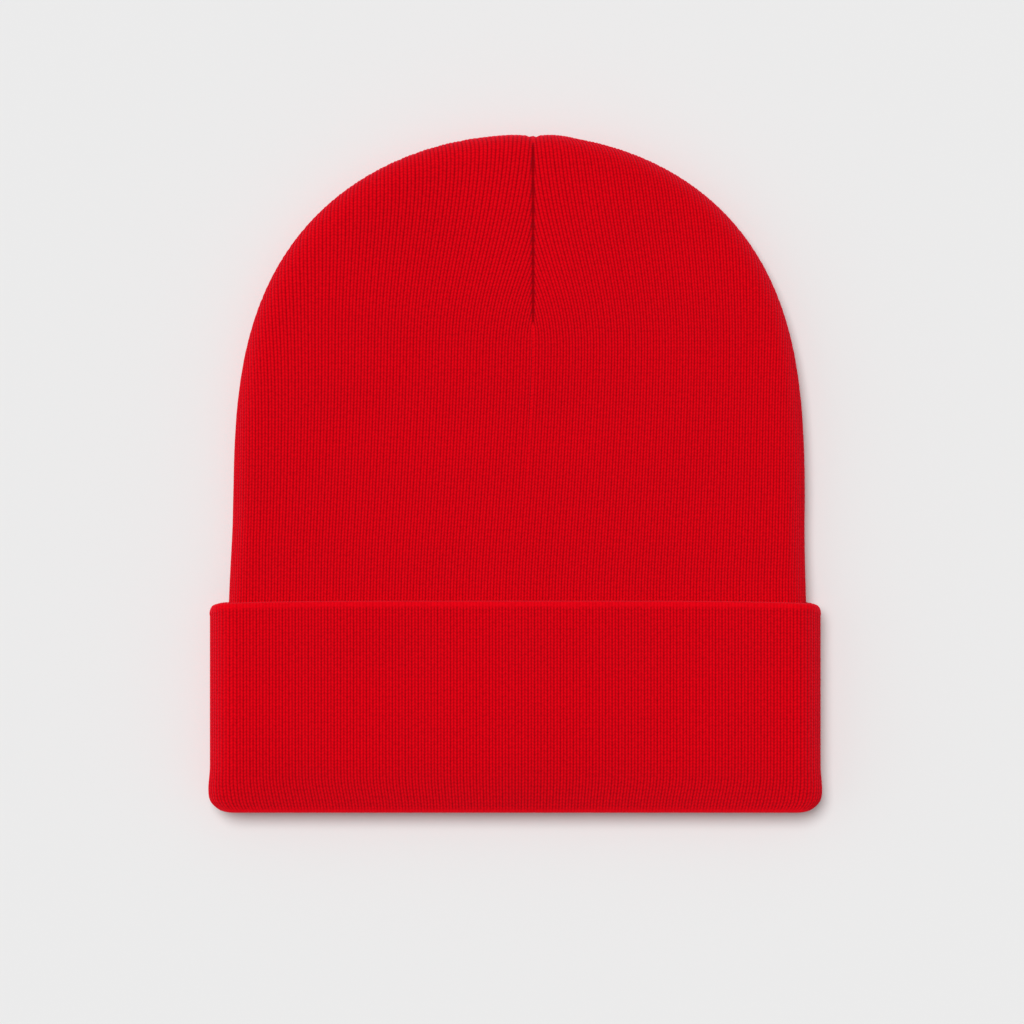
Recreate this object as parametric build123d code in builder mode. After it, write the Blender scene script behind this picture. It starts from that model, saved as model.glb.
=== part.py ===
"""Cuffed rib-knit beanie, lying flat with its front face up.

The hat is one long knitted tube pushed into itself, so its body is two plies deep: an outer ply
and a lining ply, each closed over the crown by four sewn darts. The open end is turned up on the
outside as a cuff. The frame: X runs across the hat, +Y from the mouth to the crown, +Z out of the
front face. The origin is on the surface under the hat, below the middle of its box.
"""

from build123d import *
from math import cos, radians, sin, sqrt
import os

# ---- driving dimensions, millimetres -------------------------------------------------------------

hat_height = 240.0          # bottom fold of the cuff to the top of the crown
cuff_width = 216.3
cuff_height = 74.5
body_width_at_hem = 205.0   # where the body comes out of the cuff
crown_width = 203.4         # where the crown starts to narrow
crown_base_y = -20.0
crown_exponent = 3.15       # half width = half crown_width * sqrt(1 - t ** crown_exponent)

ply_thickness = 1.3
ply_gap = 1.0               # between outer ply and lining, where the dart stitches lie
body_thickness = 14.0       # inside the cuff
cuff_clearance = 0.4        # body to cuff
cuff_ply_gap = 0.2          # between the two plies of the cuff
fold_clearance = 0.3        # between the ends of two plies that meet at a fold

band_corner = 6.4           # rim radius of the body inside the cuff
crown_corner = 7.6          # rim radius of the body above the cuff

dart_x = 5.5                # front and back darts, right of the middle
dart_start_y = 55.0
dart_end_y = 111.5
side_dart_start = 0.04      # share of the crown outline, measured from its foot
side_dart_end = 0.46
stitch_pitch = 2.6
stitch_length = 4.0         # across a front or back dart
side_stitch_length = 1.6    # along Z, where the rim is nearly flat
stitch_width = 0.9
stitch_thickness = 0.4
stitch_clearance = 0.1
tack_radius = 0.35
tack_spacing = 2.0

# ---- derived places ------------------------------------------------------------------------------

apex_y = hat_height / 2
fold_y = -hat_height / 2
hem_y = fold_y + cuff_height
cuff_wall = 2 * ply_thickness + cuff_ply_gap
band_bottom = cuff_wall + cuff_clearance
body_top = band_bottom + body_thickness
band_half_width = cuff_width / 2 - band_bottom
hem_half_width = body_width_at_hem / 2

lining_inset = ply_thickness + ply_gap
hollow_inset = lining_inset + ply_thickness

# The bottom fold turns the cuff's outer surface round to the lining's inner surface.
fold_radius = (band_bottom + hollow_inset) / 2
roll_y = fold_y + fold_radius
mouth_y = roll_y + fold_clearance

crown_middle_z = body_top / 2


# ---- shapes shared by the plies ------------------------------------------------------------------


def band_half_width_at(y):
    """Half width of the body inside the cuff: it widens in a straight line down to the mouth."""
    share = (hem_y - y) / (hem_y - mouth_y)
    return hem_half_width + share * (band_half_width - hem_half_width)


def crown_outline(inset):
    """Edge round the crown, foot to foot over the apex, moved in by inset."""
    half_width = crown_width / 2 - inset
    rise = apex_y - inset - crown_base_y
    right_side = []
    for angle in range(0, 90, 10):
        t = sin(radians(angle))
        right_side.append((half_width * sqrt(1 - t**crown_exponent), crown_base_y + rise * t))
    left_side = [(-x, y) for x, y in reversed(right_side)]
    apex = (0, crown_base_y + rise)
    return Spline(*right_side, apex, *left_side, tangents=[(0, 1), (0, -1)], mode=Mode.PRIVATE)


def crown(inset):
    """Flat crown with a rounded rim."""
    with BuildPart() as solid:
        with BuildSketch(Plane.XY.offset(inset)):
            with BuildLine():
                rim = crown_outline(inset)
                add(rim)
                Line(rim @ 1, rim @ 0)
            make_face()
        extrude(amount=body_top - 2 * inset)
        rims = solid.edges().filter_by(GeomType.BSPLINE)
        fillet(rims, radius=crown_corner - inset)
    return solid.part


def band_section(y, half_width, bottom, top, corner):
    """Rounded rectangle across the hat at y."""
    with BuildSketch(Plane.XZ.offset(-y)) as section:
        with Locations((0, (bottom + top) / 2)):
            RectangleRounded(2 * half_width, top - bottom, corner)
    return section.sketch


def pouch(inset, open_end_y):
    """The whole body as a solid, moved in by inset and cut square at open_end_y."""
    top = body_top - inset
    with BuildPart() as solid:
        band_ends = [
            band_section(y, band_half_width_at(y) - inset, band_bottom + inset, top, band_corner - inset)
            for y in (open_end_y, hem_y)
        ]
        loft(sections=band_ends, ruled=True)
        shoulder_ends = [
            band_section(hem_y, hem_half_width - inset, band_bottom + inset, top, band_corner - inset),
            band_section(crown_base_y, crown_width / 2 - inset, inset, top, crown_corner - inset),
        ]
        loft(sections=shoulder_ends, ruled=True)
        add(crown(inset))
    return solid.part


def ring_path():
    """Right half of the body's section in the cuff, from the middle of its front to its back."""
    half_flat = band_half_width - band_corner
    half_side = body_thickness - 2 * band_corner
    with BuildLine(Plane.XZ) as path:
        front = Line((0, body_top), (half_flat, body_top))
        front_rim = JernArc(front @ 1, (1, 0), band_corner, -90)
        side = Line(front_rim @ 1, front_rim @ 1 - Vector(0, 0, half_side))
        back_rim = JernArc(side @ 1, (0, -1), band_corner, -90)
        Line(back_rim @ 1, (0, band_bottom))
    return path.line


def ring(section):
    """A cuff ply: its section in the YZ plane carried right round the body."""
    with BuildPart() as solid:
        sweep(sections=section, path=ring_path())
        mirror(about=Plane.YZ)
    return solid.part


# ---- the four plies ------------------------------------------------------------------------------

with BuildPart() as outer_ply:
    add(pouch(0, mouth_y))
    add(pouch(ply_thickness, fold_y), mode=Mode.SUBTRACT)

with BuildPart() as lining_ply:
    add(pouch(lining_inset, mouth_y))
    add(pouch(hollow_inset, fold_y), mode=Mode.SUBTRACT)


def cuff_face_section():
    """Face ply: rolled at the bottom fold, flat over the cuff, folded in again at the top hem."""
    face_top = body_top + band_bottom
    face_under = face_top - ply_thickness
    roll_middle = face_top - fold_radius
    roll_inner = fold_radius - ply_thickness
    hem_radius = cuff_wall / 2
    hem_inner = cuff_ply_gap / 2
    hem_middle = face_top - hem_radius
    turn_y = hem_y - hem_radius
    with BuildSketch(Plane.YZ) as section:
        with BuildLine():
            Line((roll_y, face_top), (turn_y, face_top))
            ThreePointArc(
                (turn_y, face_top),
                (turn_y + hem_radius, hem_middle),
                (turn_y, hem_middle - hem_radius),
            )
            Line((turn_y, hem_middle - hem_radius), (turn_y, hem_middle - hem_inner))
            ThreePointArc(
                (turn_y, hem_middle - hem_inner),
                (turn_y + hem_inner, hem_middle),
                (turn_y, face_under),
            )
            Line((turn_y, face_under), (roll_y, face_under))
            ThreePointArc(
                (roll_y, face_under),
                (roll_y - roll_inner, roll_middle),
                (roll_y, roll_middle - roll_inner),
            )
            Line((roll_y, roll_middle - roll_inner), (roll_y, roll_middle - fold_radius))
            ThreePointArc(
                (roll_y, roll_middle - fold_radius),
                (roll_y - fold_radius, roll_middle),
                (roll_y, face_top),
            )
        make_face()
    return section.sketch


def cuff_backing_section():
    """Backing ply: lies between face and body, and turns inside the roll to meet the outer ply."""
    leg_bottom = body_top + cuff_clearance
    leg_top = leg_bottom + ply_thickness
    body_bottom = body_top - ply_thickness
    roll_middle = (leg_top + body_bottom) / 2
    roll_outer = (leg_top - body_bottom) / 2
    roll_inner = roll_outer - ply_thickness
    end_y = hem_y - cuff_wall / 2 - fold_clearance
    with BuildSketch(Plane.YZ) as section:
        with BuildLine():
            Polyline((roll_y, leg_top), (end_y, leg_top), (end_y, leg_bottom), (roll_y, leg_bottom))
            ThreePointArc(
                (roll_y, leg_bottom),
                (roll_y - roll_inner, roll_middle),
                (roll_y, body_top),
            )
            Line((roll_y, body_top), (roll_y, body_bottom))
            ThreePointArc(
                (roll_y, body_bottom),
                (roll_y - roll_outer, roll_middle),
                (roll_y, leg_top),
            )
        make_face()
    return section.sketch


with BuildPart() as cuff_face_ply:
    add(ring(cuff_face_section()))

with BuildPart() as cuff_backing_ply:
    add(ring(cuff_backing_section()))


# ---- dart stitches and crown tack ----------------------------------------------------------------


def flat_dart_stitches(x, z):
    """Overlock stitches in a row up a front or back dart, each lying across the seam."""
    rows = int((dart_end_y - dart_start_y) / stitch_pitch) + 1
    middle_y = (dart_start_y + dart_end_y) / 2
    with BuildPart() as stitches:
        with Locations((x, middle_y, z)):
            with GridLocations(0, stitch_pitch, 1, rows):
                Box(stitch_length, stitch_width, stitch_thickness)
    return stitches.part


def side_dart_stitches(side, inset, z):
    """Overlock stitches along the rim from shoulder to crown; side is 1 right or -1 left."""
    rim = crown_outline(inset)
    run = rim.length * (side_dart_end - side_dart_start)
    count = int(run / stitch_pitch)
    places = []
    for index in range(count):
        distance = rim.length * side_dart_start + index * stitch_pitch
        point = rim.position_at(distance, PositionMode.LENGTH)
        turn = rim.tangent_angle_at(distance, PositionMode.LENGTH)
        angle = turn if side > 0 else 180 - turn
        places.append(Location((side * point.X, point.Y, z), (0, 0, angle)))
    with BuildPart() as stitches:
        with Locations(places):
            Box(stitch_width, stitch_thickness, side_stitch_length)
    return stitches.part


def crown_tack():
    """Three short stitches that tie the lining to the outer ply at the apex."""
    length = ply_gap - 2 * stitch_clearance
    start_y = apex_y - ply_thickness - stitch_clearance
    with BuildPart() as tack:
        with BuildSketch(Plane.XZ.offset(-start_y)):
            with Locations((0, crown_middle_z)):
                with GridLocations(tack_spacing, 0, 3, 1):
                    Circle(tack_radius)
        extrude(amount=length)
    return tack.part


stitch_reach = stitch_clearance + stitch_thickness / 2
ply_side = {"shell": ply_thickness + stitch_reach, "lining": lining_inset - stitch_reach}
seam_side = {"shell": 1, "lining": -1}

pieces = {
    "outer_ply": outer_ply.part,
    "lining_ply": lining_ply.part,
    "cuff_face_ply": cuff_face_ply.part,
    "cuff_backing_ply": cuff_backing_ply.part,
    "crown_tack": crown_tack(),
}

for layer, inset in ply_side.items():
    seam_x = dart_x + seam_side[layer] * (stitch_length / 2 + stitch_clearance)
    rim_z = crown_middle_z + seam_side[layer] * (side_stitch_length / 2 + stitch_clearance)
    pieces[f"{layer}_front_dart_thread"] = flat_dart_stitches(seam_x, body_top - inset)
    pieces[f"{layer}_back_dart_thread"] = flat_dart_stitches(seam_x, inset)
    pieces[f"{layer}_right_dart_thread"] = side_dart_stitches(1, inset, rim_z)
    pieces[f"{layer}_left_dart_thread"] = side_dart_stitches(-1, inset, rim_z)

# ---- export --------------------------------------------------------------------------------------

os.makedirs("parts", exist_ok=True)
for name, piece in pieces.items():
    piece.label = name
    export_step(piece, f"parts/{name}.step")
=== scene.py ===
"""Cuffed rib-knit beanie, lying flat with its front face up.

The hat is one long knitted tube pushed into itself, so its body is two plies deep, and its open
end is turned up on the outside as a cuff. Each ply is a closed shell whose columns of vertices
follow the wales of the knit. Frame: X across the hat, +Y from mouth to crown, +Z up, metres.
"""

import logging
import math
from dataclasses import dataclass, field
from enum import Enum
from typing import Any

import bmesh
import bpy
import numpy as np
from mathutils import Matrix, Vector, kdtree, noise


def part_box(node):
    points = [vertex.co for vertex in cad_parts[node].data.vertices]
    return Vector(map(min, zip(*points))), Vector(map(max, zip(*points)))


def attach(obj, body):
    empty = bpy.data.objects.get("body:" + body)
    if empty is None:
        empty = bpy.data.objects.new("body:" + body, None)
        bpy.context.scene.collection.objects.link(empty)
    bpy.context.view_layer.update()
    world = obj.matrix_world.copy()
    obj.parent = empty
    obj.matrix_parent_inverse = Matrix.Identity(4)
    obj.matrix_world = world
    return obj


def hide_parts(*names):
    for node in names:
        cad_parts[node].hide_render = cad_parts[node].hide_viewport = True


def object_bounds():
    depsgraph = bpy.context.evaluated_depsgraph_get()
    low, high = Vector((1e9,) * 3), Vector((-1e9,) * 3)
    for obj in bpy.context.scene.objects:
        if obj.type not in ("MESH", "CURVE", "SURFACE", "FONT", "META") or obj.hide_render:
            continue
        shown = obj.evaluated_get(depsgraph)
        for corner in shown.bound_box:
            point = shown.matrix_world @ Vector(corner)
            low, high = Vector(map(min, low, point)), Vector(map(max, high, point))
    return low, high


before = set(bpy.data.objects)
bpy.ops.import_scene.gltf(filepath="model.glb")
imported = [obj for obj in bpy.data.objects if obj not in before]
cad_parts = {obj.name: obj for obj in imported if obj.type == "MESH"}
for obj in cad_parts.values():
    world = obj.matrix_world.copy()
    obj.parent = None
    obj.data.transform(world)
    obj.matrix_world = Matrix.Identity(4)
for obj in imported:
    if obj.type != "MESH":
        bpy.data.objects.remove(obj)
CAD_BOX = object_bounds()

LOG = logging.getLogger("beanie")
MM = 0.001
UV_NAME = "wale_course"
TINY = 1e-12  # keeps a division off zero
NEAR = 1e-9  # heights this close count as the same


# ---- small helpers -------------------------------------------------------------------------------


def linear_colour(code: str) -> tuple[float, float, float, float]:
    """Turn an sRGB hex colour into linear red, green, blue and alpha.

    Args:
        code: six hex digits after a hash sign.

    Returns:
        The colour as Blender's sockets take it.
    """
    channels = [int(code[i : i + 2], 16) / 255 for i in (1, 3, 5)]
    linear = [c / 12.92 if c <= 0.04045 else ((c + 0.055) / 1.055) ** 2.4 for c in channels]
    return (linear[0], linear[1], linear[2], 1.0)


def add_node(
    tree: bpy.types.NodeTree,
    kind: str,
    settings: dict[str, Any] | None = None,
    inputs: dict[Any, Any] | None = None,
) -> bpy.types.Node:
    """Add a node with its settings, input values and links.

    Args:
        tree: the node tree that gets the node.
        kind: Blender's name for the node type.
        settings: node properties by name.
        inputs: by socket name or number, a value, or the output socket to link from.

    Returns:
        The new node.
    """
    node = tree.nodes.new(kind)
    for name, value in (settings or {}).items():
        setattr(node, name, value)
    for socket, value in (inputs or {}).items():
        if isinstance(value, bpy.types.NodeSocket):
            tree.links.new(value, node.inputs[socket])
        else:
            node.inputs[socket].default_value = value
    return node


def add_steps(tree: bpy.types.NodeTree, known: dict[Any, Any], recipe: dict[str, tuple]) -> None:
    """Add a recipe's steps of arithmetic in order, each named for what it gives.

    Args:
        tree: shader or geometry node tree.
        known: output sockets by name, to which each step's own is added.
        recipe: by result, Blender's name for the operation and its values, which are numbers or
            names of known sockets.
    """
    for result, (operation, *values) in recipe.items():
        inputs = {slot: known.get(value, value) for slot, value in enumerate(values)}
        known[result] = add_node(tree, "ShaderNodeMath", {"operation": operation}, inputs).outputs[0]


def smooth_step(value: np.ndarray | float, start: float, end: float) -> np.ndarray:
    """Rise smoothly from 0 at start to 1 at end.

    Args:
        value: where to read the step.
        start: last place at 0.
        end: first place at 1.

    Returns:
        The step at each value.
    """
    share = np.clip((value - start) / (end - start), 0.0, 1.0)
    return share * share * (3 - 2 * share)


def socket_identifier(tree: bpy.types.NodeTree, name: str) -> str:
    """Find the identifier of a tree's named input."""
    return next(s.identifier for s in tree.interface.items_tree if s.name == name and s.in_out == "INPUT")


def apply_tree(piece: bpy.types.Object, tree: bpy.types.NodeTree, values: dict[str, Any]) -> None:
    """Run a geometry tree on a piece and keep its result as the piece's plain mesh.

    Args:
        piece: mesh or curve object, which ends as a mesh with no modifier.
        tree: geometry node tree.
        values: the tree's inputs by name.
    """
    modifier = piece.modifiers.new(tree.name, "NODES")
    modifier.node_group = tree
    for name, value in values.items():
        modifier[socket_identifier(tree, name)] = value
    depsgraph = bpy.context.evaluated_depsgraph_get()
    mesh = bpy.data.meshes.new_from_object(
        piece.evaluated_get(depsgraph), preserve_all_data_layers=True, depsgraph=depsgraph
    )
    piece.modifiers.clear()
    piece.data = mesh


# ---- the hat's form ------------------------------------------------------------------------------


class Face(Enum):
    """Side of the hat that a panel belongs to: its sign along Z."""

    FRONT = 1
    BACK = -1


class Hand(Enum):
    """Half of a side that a panel belongs to: its sign along X."""

    RIGHT = 1
    LEFT = -1


@dataclass(frozen=True)
class RibCloth:
    """The cloth: 1x1 rib in worsted acrylic, whose wales run from mouth to crown.

    A wale has more columns of vertices on a ply that is shown than on a hidden one.
    """

    wales: int = 196
    course: float = 1.13 * MM
    thickness: float = 1.3 * MM
    groove_depth: float = 0.46 * MM
    leg_depth: float = 0.4 * MM
    shown_columns: int = 6
    hidden_columns: int = 4

    @property
    def wales_per_panel(self) -> int:
        """Wales in a quarter of the tube, from a dart to the rim."""
        return self.wales // 4

    def wale_numbers(self, face: Face, hand: Hand, columns: int, per_wale: int) -> np.ndarray:
        """Number the wales of a panel round the tube.

        Args:
            face: front or back.
            hand: right or left half.
            columns: how many columns of vertices the panel has.
            per_wale: how many of them a wale has.

        Returns:
            The wale count at each column.
        """
        middle = self.wales_per_panel * (1 if face is Face.FRONT else 3)
        return middle + face.value * hand.value * np.arange(columns) / per_wale

    def relief_inputs(self, finish: bpy.types.Material) -> dict[str, Any]:
        """Give the relief tree's inputs for this cloth in its finish."""
        return {"Groove Depth": self.groove_depth, "Leg Depth": self.leg_depth, "Material": finish}


@dataclass
class BodyForm:
    """Outer surface of the hat's body, and the way that its wales lie on it.

    The body is unrolled to a flat plan: across runs from the middle of a face to the middle of
    the rim, and along runs up the hat. A rim is a half round, so the unrolled plan is wider than
    the hat by rim_excess on each side. The ranges named for the tip are heights above the dart's
    tip, and those named for the top are heights above the top of the plan.
    """

    crown_base: float = -20.0 * MM
    crown_half_width: float = 101.7 * MM
    hem_half_width: float = 102.5 * MM
    crown_exponent: float = 3.15
    dart_x: float = 6.3 * MM
    dart_tip: float = 52.0 * MM
    lean_start: float = 38.0 * MM
    lean_peak: float = 68.0 * MM
    lean_slope: float = 0.39
    lean_slope_at_crown: float = 0.05
    lean_reach: float = 37.0 * MM
    lean_reach_at_crown: float = 95.0 * MM
    lean_soft: float = 14.0 * MM
    lean_sharp: float = 0.01 * MM
    rim_slope: float = 0.35
    rim_reach: float = 9.0 * MM
    shoulder_drift: float = 0.8 * MM
    crown_drift: float = 1.4 * MM
    drift_below_hem: float = 25.0 * MM
    bend_below_hem: float = 10.0 * MM
    narrowest_bend: float = 20.0 * MM
    valley_width: float = 5.0 * MM
    valley_depth: float = 0.6 * MM
    valley_at_tip: tuple[float, float] = (-16.0 * MM, 10.0 * MM)
    crease_width: float = 0.6 * MM
    crease_depth: float = 0.9 * MM
    crease_at_tip: tuple[float, float] = (-4.0 * MM, 6.0 * MM)
    rim_crease_share: float = 0.5
    rim_crease_rise: float = 30.0 * MM
    rim_flattening: float = 0.5
    notch_place: float = 1.4 * MM
    notch_width: float = 0.45 * MM
    notch_depth: float = 0.6 * MM
    notch_at_top: tuple[float, float] = (-3.5 * MM, 0.0)
    seam_margin: float = 1.1 * MM
    seam_far: float = 5.0 * MM
    seam_fade: float = 1.6 * MM
    seam_at_tip: tuple[float, float] = (-6.0 * MM, 4.0 * MM)
    seam_at_top: tuple[float, float] = (-8.0 * MM, -4.0 * MM)
    cut_margin: float = 0.2 * MM
    sag_height: float = 4.0 * MM
    sag_reach: float = 21.0 * MM
    wave_height: float = 0.55 * MM
    wave_rise: float = 40.0 * MM
    wave_rate: tuple[float, float] = (16.0, 11.0)
    wave_slice: float = 3.7
    wave_in_cuff: float = 0.25
    outline_step: float = 0.25 * MM
    outline_margin: float = 20.0 * MM
    path_step: float = 0.5 * MM
    outline: np.ndarray = field(init=False, repr=False)
    outline_normals: np.ndarray = field(init=False, repr=False)
    tree: kdtree.KDTree = field(init=False, repr=False)

    def __post_init__(self) -> None:
        """Read the hat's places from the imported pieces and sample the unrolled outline."""
        body_low, body_high = (Vector(c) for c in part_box("outer_ply"))
        cuff_low, cuff_high = (Vector(c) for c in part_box("cuff_face_ply"))
        self.mouth = body_low.y
        self.apex = body_high.y
        self.top = body_high.z
        self.hem = cuff_high.y
        self.fold = cuff_low.y
        self.cuff_proud = cuff_high.z - body_high.z
        self.band_half_width = cuff_high.x - self.cuff_proud
        self._sample_outline()

    def half_width(self, along: np.ndarray) -> np.ndarray:
        """Half width of the hat at a height."""
        share = np.clip((along - self.crown_base) / (self.apex - self.crown_base), 0, 1)
        crown = self.crown_half_width * np.sqrt(1 - share**self.crown_exponent)
        neck = (along - self.hem) / (self.crown_base - self.hem)
        shoulder = self.hem_half_width + neck * (self.crown_half_width - self.hem_half_width)
        flare = (self.hem - along) / (self.hem - self.mouth)
        band = self.hem_half_width + flare * (self.band_half_width - self.hem_half_width)
        return np.where(along > self.crown_base, crown, np.where(along > self.hem, shoulder, band))

    def lift(self, along: np.ndarray) -> np.ndarray:
        """Height of the body's back above the floor: the cuff lies under it at the mouth end."""
        return self.cuff_proud * (1 - smooth_step(along, self.hem, self.crown_base))

    def half_thickness(self, along: np.ndarray) -> np.ndarray:
        """Half of the body's thickness, which is also the radius of its rim."""
        return (self.top - self.lift(along)) / 2

    def rim_excess(self, along: np.ndarray) -> np.ndarray:
        """How far the unrolled plan reaches beyond the hat's outline."""
        return (math.pi / 2 - 1) * self.half_thickness(along)

    def _sample_outline(self) -> None:
        """Sample the right side of the unrolled outline, from the mouth to the apex."""
        count = int((self.apex - self.mouth) / self.outline_step)
        angles = np.linspace(0, math.pi / 2, count)
        crown = self.crown_base + (self.apex - self.crown_base) * np.sin(angles)
        low = self.mouth - self.outline_margin
        straight = np.linspace(low, self.crown_base, count, endpoint=False)
        along = np.concatenate([straight, crown])
        points = np.stack([self.half_width(along), along], axis=1)
        points[-1] = (0, self.apex)
        tangents = np.gradient(points, axis=0)
        normals = np.stack([tangents[:, 1], -tangents[:, 0]], axis=1)
        normals /= np.linalg.norm(normals, axis=1, keepdims=True)
        normals[-1] = (0, 1)
        self.outline = points + normals * self.rim_excess(along)[:, None]
        self.outline_normals = normals
        self.tree = kdtree.KDTree(len(points))
        for index, (x, y) in enumerate(self.outline):
            self.tree.insert((x, y, 0), index)
        self.tree.balance()

    def panel_width(self, along: np.ndarray) -> np.ndarray:
        """Unrolled width of a panel at a height, 0 above the apex."""
        return np.interp(along, self.outline[:, 1], self.outline[:, 0], right=0.0)

    def lean(self, across: np.ndarray, along: float, width: float) -> np.ndarray:
        """Slope of the wales: they lean towards the dart, and near the rim towards the side dart.

        Args:
            across: distances from the middle of the face.
            along: height of the row.
            width: width of the panel there.

        Returns:
            The slope towards the middle at each place, 0 on the middle line below the dart.
        """
        rise = smooth_step(along, self.lean_start, self.lean_peak)
        fall = min(max((along - self.lean_peak) / (self.apex - self.lean_peak), 0.0), 1.0)
        slope = self.lean_slope + fall * (self.lean_slope_at_crown - self.lean_slope)
        reach = self.lean_reach + fall * (self.lean_reach_at_crown - self.lean_reach)
        soft = self.lean_soft * (1 - smooth_step(along, self.lean_start, self.dart_tip)) + self.lean_sharp
        inward = rise * slope * np.tanh(across / soft) * np.exp(-across / reach)
        turn = self.rim_slope * smooth_step(along, 0, self.lean_peak)
        outward = turn * np.exp(-np.maximum(width - across, 0) / self.rim_reach)
        return inward - outward * np.clip(across / self.lean_reach, 0, 1)

    def wale_paths(self, columns: int) -> tuple[np.ndarray, np.ndarray, np.ndarray]:
        """Follow the wales of one panel up to where a dart cuts them.

        Args:
            columns: spaces between columns of vertices in the panel.

        Returns:
            Heights of the steps, the place across of each column at each step, and the height at
            which each column ends.
        """
        share = np.arange(columns + 1) / columns
        crown_top = self.outline[-1, 1]
        steps = int((crown_top - self.mouth) / self.path_step) + 1
        heights = np.linspace(self.mouth, crown_top, steps)
        across = np.zeros((steps, columns + 1))
        ends = np.full(columns + 1, crown_top)
        done = np.zeros(columns + 1, dtype=bool)
        for step, height in enumerate(heights):
            width = self.panel_width(np.array([height]))[0]
            if height <= self.crown_base:
                across[step] = share * width
                continue
            rise = height - heights[step - 1]
            before = across[step - 1]
            old_width = self.panel_width(np.array([heights[step - 1]]))[0]
            now = np.where(done, before, before - self.lean(before, height, old_width) * rise)
            cut_dart = ~done & (now <= self.cut_margin) & (height > self.lean_start) & (share > 0)
            cut_rim = ~done & (now >= width)
            gap_before = old_width - before
            gap_now = width - now
            part_dart = np.clip((before - self.cut_margin) / np.maximum(before - now, TINY), 0, 1)
            part_rim = np.clip(gap_before / np.maximum(gap_before - gap_now, TINY), 0, 1)
            ends = np.where(cut_dart, heights[step - 1] + part_dart * rise, ends)
            ends = np.where(cut_rim, heights[step - 1] + part_rim * rise, ends)
            done |= cut_dart | cut_rim
            across[step] = now
        ends[0] = ends[1:].min()
        return heights, across, ends

    def place(
        self, across: np.ndarray, along: np.ndarray, on_rim: np.ndarray, face: Face, hand: Hand
    ) -> tuple[np.ndarray, np.ndarray, np.ndarray]:
        """Bend unrolled points onto the body.

        Args:
            across: distances from the middle of the face, never negative.
            along: heights in the unrolled plan.
            on_rim: which points belong exactly on the middle of the rim.
            face: front or back.
            hand: right or left half.

        Returns:
            Points on the outer surface, the outward normals there, and how fully the ribs stand:
            low on the crown's rim, 1 elsewhere.
        """
        plan = np.stack([across, along], axis=1)
        found = [self.tree.find((x, y, 0))[1] for x, y in plan]
        normals = self.outline_normals[found]
        depth = np.einsum("ij,ij->i", self.outline[found] - plan, normals)
        plan = plan + normals * np.where(on_rim, depth, 0)[:, None]
        depth = np.where(on_rim, 0, np.maximum(depth, 0))
        across, along = plan[:, 0], plan[:, 1]
        radius = self.half_thickness(along)
        angle = np.minimum(depth / radius, math.pi / 2)
        inset = radius * (1 - np.cos(angle))
        shift = np.minimum(depth, radius * math.pi / 2) - self.rim_excess(along) - inset
        shift = np.where(depth < radius * math.pi / 2, shift, 0)
        flat = np.sin(angle)
        out = np.stack([normals[:, 0] * np.cos(angle), normals[:, 1] * np.cos(angle), flat], axis=1)
        plan = plan + normals * shift[:, None]
        plan = plan - out[:, :2] * self._sunk(plan[:, 0], along, depth)[:, None]
        sunk = self._sunk(plan[:, 0], along, depth)
        height = self.lift(plan[:, 1]) + radius + face.value * flat * (radius - sunk)
        x = self.warp(plan[:, 0] * hand.value, plan[:, 1])
        if face is Face.FRONT:
            height = height + flat**2 * (self.wave(x, plan[:, 1]) - self.sag(plan[:, 1]))
        # The ribs stand lower near the crown's sewn rim, so they also carry less painted shade there.
        near_rim = 1 - smooth_step(depth, 0, self.seam_margin)
        stand = 1 - self.rim_flattening * self.rim_sewn(along) * near_rim
        out[:, 0] *= hand.value
        out[:, 2] *= face.value
        return np.stack([x, plan[:, 1], height], axis=1), out, stand

    def seam_distance(self, across: np.ndarray, along: np.ndarray) -> np.ndarray:
        """Measure how far the cloth is from a sewn front or back dart.

        Args:
            across: distances from the middle of the face.
            along: heights in the unrolled plan.

        Returns:
            The distance, which grows by seam_fade below the dart's tip and at its top.
        """
        sewn = smooth_step(along - self.dart_tip, *self.seam_at_tip)
        sewn = sewn * (1 - smooth_step(along - self.outline[-1, 1], *self.seam_at_top))
        return np.minimum(across, self.seam_far) + self.seam_fade * (1 - sewn)

    def rim_sewn(self, along: np.ndarray) -> np.ndarray:
        """How fully the side darts draw the rim in at a height, 0 to 1."""
        return smooth_step(along, self.crown_base, self.crown_base + self.rim_crease_rise)

    def _sunk(self, x: np.ndarray, along: np.ndarray, depth: np.ndarray) -> np.ndarray:
        """Find how far the dart seams draw the cloth in.

        Args:
            x: distances from the front or back dart.
            along: heights in the unrolled plan.
            depth: distances from the rim.

        Returns:
            Depths below the body's outer surface.
        """
        valley = smooth_step(along - self.dart_tip, *self.valley_at_tip)
        sunk = self.valley_depth * valley * np.exp(-((x / self.valley_width) ** 2))
        near_apex = smooth_step(along - self.outline[-1, 1], *self.notch_at_top)
        crease = self.crease_depth * (1 - near_apex)
        sewn = smooth_step(along - self.dart_tip, *self.crease_at_tip)
        sunk = sunk + crease * sewn * np.exp(-x / self.crease_width)
        rim_crease = self.rim_crease_share * crease * self.rim_sewn(along)
        sunk = sunk + rim_crease * np.exp(-depth / self.crease_width)
        notch = np.exp(-(((x - self.notch_place) / self.notch_width) ** 2))
        return sunk + self.notch_depth * notch * near_apex

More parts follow.
